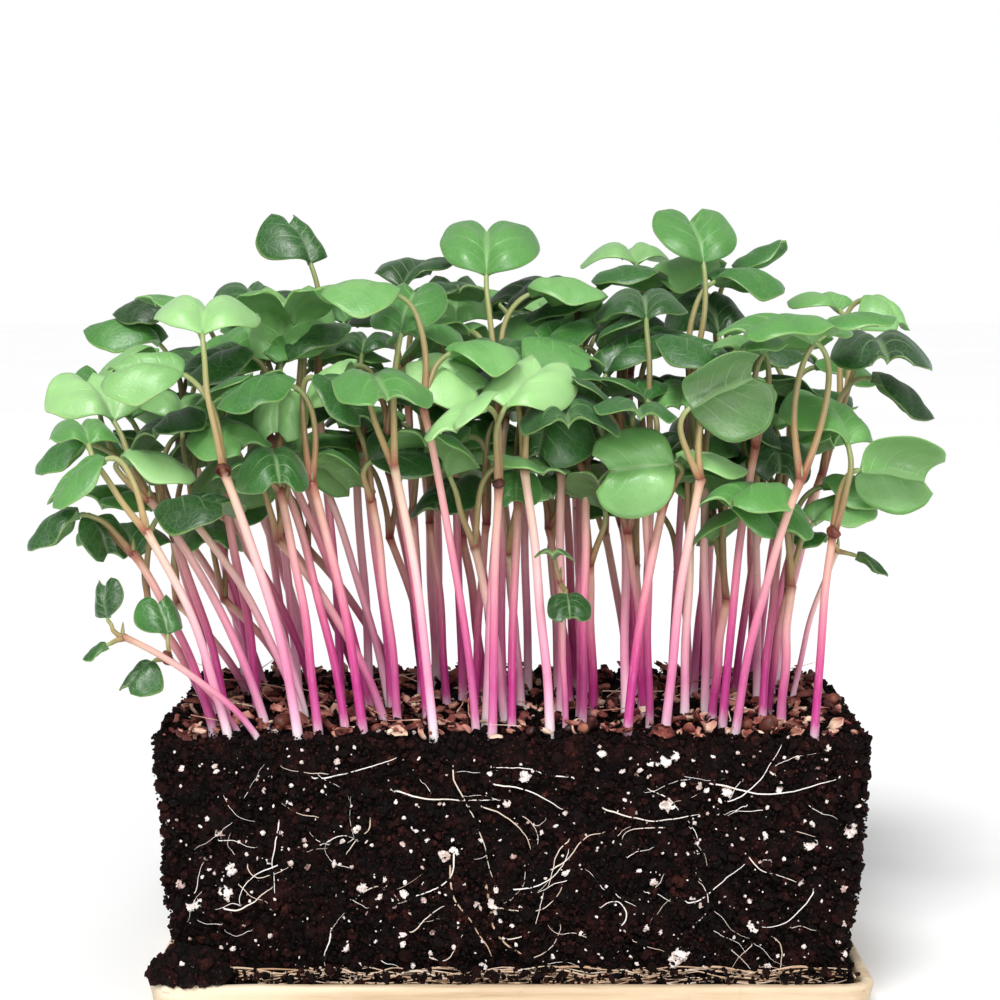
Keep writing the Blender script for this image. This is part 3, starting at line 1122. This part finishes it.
def build_husks(feet, finish):
    """Pale torn husks and straw fibres lying on the soil."""
    rng = np.random.default_rng(95)
    heap = Heap()
    for _ in range(950):
        x, y = rng.uniform(-53.5, 53.5), 29 - 59.5 * rng.uniform() ** 0.8
        size = rng.uniform(0.5, 2.0)
        if min((x - a) ** 2 + (y - b) ** 2 for a, b in feet) < (0.9 + size * 0.8) ** 2:
            continue
        points, faces = husk_flake(rng, size)
        points = points @ random_turns(rng, 1)[0].T * (1, 1, 0.7) + (x, y, SOIL_TOP + rng.uniform(0.7, 1.7))
        heap.add(points, faces, rng.uniform(0, 1))
    for _ in range(46):
        start = rng.uniform(-50, 50), rng.uniform(-28, 27)
        flat = wander(rng, start, rng.uniform(0, 360), rng.uniform(4, 13), rng.uniform(-5, 5), 14)
        flat[:, 1] = np.clip(flat[:, 1], -30.5, 29)
        z = SOIL_TOP + 1.0 + rng.uniform(0, 1.3) + np.linspace(0, rng.uniform(-0.5, 3.0), len(flat))
        heap.add(*root_tube(np.column_stack([flat, z]), rng.uniform(0.08, 0.2)), rng.uniform(0.5, 1.3))
    heap.hand_over("husks_and_straw", finish, "seed_hull")


def husk_flake(rng, size):
    """A curled flake with thickness: points and quads."""
    columns, rows = 6, 5
    u, v = np.meshgrid(np.linspace(-1, 1, columns), np.linspace(-1, 1, rows), indexing="ij")
    width = size * (1 - 0.55 * v**2) * (1 + 0.25 * rng.normal(size=u.shape))
    bend = rng.uniform(0.3, 1.4)
    x, y = u * width * 0.5, v * size * rng.uniform(0.6, 1.1)
    z = -bend * size * 0.5 * u**2 + rng.uniform(-0.3, 0.3) * size * v**2 + rng.normal(size=u.shape) * 0.05
    surface = np.stack([x, y, z], -1).reshape(-1, 3)
    grid = np.arange(columns * rows).reshape(columns, rows)
    return np.concatenate([surface, surface - (0, 0, FLAKE_THICKNESS)]), slab_faces(grid.T)


def build_fallen_soil(finish, perlite_finish):
    """The heap of crumbs at the front left corner, and crumbs strewn along the rim."""
    rng = np.random.default_rng(99)
    low, high = (np.array(corner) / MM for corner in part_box("loose_soil"))
    count = 1500
    middle, half = (low + high) / 2, (high - low) / 2
    ball = rng.normal(size=(count, 3))
    ball *= (rng.uniform(size=(count, 1)) ** 0.4) / np.linalg.norm(ball, axis=1)[:, None]
    ball[:, 2] = np.abs(ball[:, 2])
    centres = (middle[0], middle[1], low[2]) + ball * half * (1.0, 0.95, 1.7) * 0.92
    sizes = np.clip(rng.lognormal(-0.65, 0.45, count), 0.2, 1.3)
    base, faces = icosphere(4)
    core = base.copy()
    core[:, 2] = np.where(core[:, 2] < 0, core[:, 2] * 0.15, core[:, 2])
    core = core * half * (0.88, 0.8, 1.5) + (middle[0], middle[1], low[2] + 0.6)
    core += 0.9 * np.array([noise.noise_vector(Vector(point) * 0.7) for point in core])
    strewn = 620
    along = rng.uniform(-54, 54, strewn)
    lying = np.stack([along, -rng.uniform(28.5, 32.6, strewn), rng.uniform(6.6, 7.7, strewn)], -1)
    lying[:, 2] = np.where(lying[:, 1] > -31.6, rng.uniform(4.5, 7.6, strewn), lying[:, 2])
    lying_sizes = np.clip(rng.lognormal(-1.15, 0.5, strewn), 0.12, 0.9)
    heap = Heap()
    heap.add(core, faces, 0.4)
    heap.add(*grains(rng, centres, sizes, 2, 0.32, 0.55))
    heap.add(*grains(rng, lying, lying_sizes, 2, 0.32, 0.55))
    heap.hand_over("fallen_soil", finish, "soil", "loose_soil", smooth=False)
    picked = rng.choice(count, 9, replace=False)
    heap = Heap()
    heap.add(*grains(rng, centres[picked] * (1, 1.01, 1.0), sizes[picked] * 0.7, 3, 0.2, 0.6))
    heap.hand_over("fallen_perlite", perlite_finish, "soil", smooth=False)


# ---------------------------------------------------------------- the tray, floor, light and camera

CAMERA_PLACE, CAMERA_PITCH, LENS = (-0.0018, -0.365, 0.1138), 5.6, 79.6  # metres, degrees down, millimetres
SUN_TILT, SUN_STRENGTH, SUN_ANGLE = (38, -14, 0), 2.75, 20  # in degrees, the angle being the sun's width
SKY_ON_OBJECTS, SKY_TO_CAMERA = 0.42, 1.0
FRONT_LAMP = (0.25, -0.95, 0.35), (0, 0, 0.07), 0.5, 4.0  # place, target, size and watts


def round_rectangle(length, width, corner, steps=14):
    points = []
    for quarter, (sx, sy) in enumerate(((1, 1), (-1, 1), (-1, -1), (1, -1))):
        angle = (quarter + np.linspace(0, 1, steps)) * pi / 2
        centre = np.array((sx * (length / 2 - corner), sy * (width / 2 - corner)))
        points.append(centre + corner * np.stack([np.cos(angle), np.sin(angle)], -1))
    outline = np.concatenate(points)
    long = []
    for a, b in zip(outline, np.roll(outline, -1, axis=0)):
        pieces = max(1, int(np.linalg.norm(b - a) / 2.5))
        long += [a + (b - a) * k / pieces for k in range(pieces)]
    return np.array(long)


def build_tray(finish):
    """The wooden tray with rounded, slightly worn edges."""
    inner = TRAY_WALL + TRAY_DRAFT
    profile = (
        (30.0, 0.0),
        (4.0, 0.0),
        (1.6, 0.0),
        (1.1, 0.12),
        (0.8, 0.5),
        (0.4, 3.5),
        (0.0, TRAY_HEIGHT - 0.9),
        (0.06, TRAY_HEIGHT - 0.45),
        (0.25, TRAY_HEIGHT - 0.14),
        (0.6, TRAY_HEIGHT),
        (TRAY_WALL / 2, TRAY_HEIGHT + 0.02),
        (TRAY_WALL - 0.6, TRAY_HEIGHT),
        (TRAY_WALL - 0.25, TRAY_HEIGHT - 0.14),
        (TRAY_WALL - 0.06, TRAY_HEIGHT - 0.45),
        (TRAY_WALL, TRAY_HEIGHT - 0.9),
        (inner - 0.3, TRAY_FLOOR + 0.7),
        (inner, TRAY_FLOOR + 0.25),
        (inner + 0.6, TRAY_FLOOR),
        (30.0, TRAY_FLOOR),
    )
    outline = round_rectangle(TRAY_LENGTH, TRAY_WIDTH, TRAY_CORNER)
    rings = []
    for inset, z in profile:
        inner_half = np.array((TRAY_LENGTH, TRAY_WIDTH)) / 2 - max(inset, TRAY_CORNER)
        ring = np.clip(outline, -inner_half, inner_half)
        ring += (outline - ring) * max(0.0, 1 - inset / TRAY_CORNER)
        rings.append(np.column_stack([ring, np.full(len(ring), z)]))
    count = len(outline)
    points = np.concatenate(rings)
    wear = np.array([noise.noise(Vector(point) * 0.35) for point in points])
    edge = np.abs(points[:, 2] - TRAY_HEIGHT) < 1.0
    points[:, 2] -= np.where(edge, 0.10 * (wear + 0.6), 0)
    middle = np.array(((0.0, 0.0, 0.0), (0.0, 0.0, TRAY_FLOOR)))
    points = np.concatenate([points, middle])
    low, high = len(points) - 2, len(points) - 1
    first, last = np.arange(count), np.arange(count) + (len(rings) - 1) * count
    fans = [np.stack([np.roll(first, -1), first, np.full(count, low)], -1)]
    fans.append(np.stack([last, np.roll(last, -1), np.full(count, high)], -1))
    obj = new_piece("tray_wooden", [(points, ring_faces(len(rings), count), 0)], (finish,))
    builder = bmesh.new()
    builder.from_mesh(obj.data)
    builder.verts.ensure_lookup_table()
    for a, b, c in np.concatenate(fans):
        builder.faces.new((builder.verts[a], builder.verts[b], builder.verts[c]))
    bmesh.ops.recalc_face_normals(builder, faces=builder.faces)
    builder.to_mesh(obj.data)
    builder.free()
    hand_over(obj, "tray_wood", "tray")


def build_floor():
    builder = bmesh.new()
    bmesh.ops.create_grid(builder, x_segments=8, y_segments=8, size=6.0)
    mesh = bpy.data.meshes.new("studio_floor")
    builder.to_mesh(mesh)
    builder.free()
    obj = bpy.data.objects.new("studio_floor", mesh)
    obj.location.z = -0.0005
    mesh.materials.append(floor_material())
    bpy.context.scene.collection.objects.link(obj)


def area_light(name, place, target, size, power):
    light = bpy.data.lights.new(name, "AREA")
    light.shape, light.size, light.energy = "DISK", size, power
    obj = bpy.data.objects.new(name, light)
    obj.location = place
    obj.rotation_euler = (Vector(target) - Vector(place)).to_track_quat("-Z", "Y").to_euler()
    bpy.context.scene.collection.objects.link(obj)


def light_and_look():
    scene = bpy.context.scene
    world = bpy.data.worlds.new("studio")
    scene.world = world
    world.use_nodes = True
    nodes, links = world.node_tree.nodes, world.node_tree.links
    path = nodes.new("ShaderNodeLightPath")
    strength = nodes.new("ShaderNodeMapRange")
    strength.inputs["To Min"].default_value = SKY_ON_OBJECTS
    strength.inputs["To Max"].default_value = SKY_TO_CAMERA
    links.new(path.outputs["Is Camera Ray"], strength.inputs["Value"])
    links.new(strength.outputs["Result"], nodes["Background"].inputs["Strength"])
    nodes["Background"].inputs["Color"].default_value = (1.0, 1.0, 1.0, 1.0)
    sun = bpy.data.lights.new("sun", "SUN")
    sun.energy, sun.angle = SUN_STRENGTH, radians(SUN_ANGLE)
    obj = bpy.data.objects.new("sun", sun)
    obj.rotation_euler = [radians(angle) for angle in SUN_TILT]
    scene.collection.objects.link(obj)
    area_light("front", *FRONT_LAMP)
    camera = bpy.data.cameras.new("camera")
    camera.lens, camera.sensor_width = LENS, 36.0
    obj = bpy.data.objects.new("camera", camera)
    obj.location = CAMERA_PLACE
    obj.rotation_euler = radians(90 - CAMERA_PITCH), 0, 0
    scene.collection.objects.link(obj)
    scene.camera = obj
    scene.view_settings.view_transform = "Standard"


def main():
    soil, white, root = soil_material(), perlite_material(), root_material()
    plan = build_plants()
    feet = [seedling[0] for seedling in plan]
    points, outward = build_soil(soil)
    build_crumbs(points, outward, soil)
    build_perlite(points, outward, white)
    build_roots(root)
    build_root_mat(root)
    build_hulls(plan, feet, hull_material())
    build_husks(feet, husk_material())
    build_fallen_soil(soil, white)
    build_tray(wood_material())
    build_floor()
    light_and_look()


main()
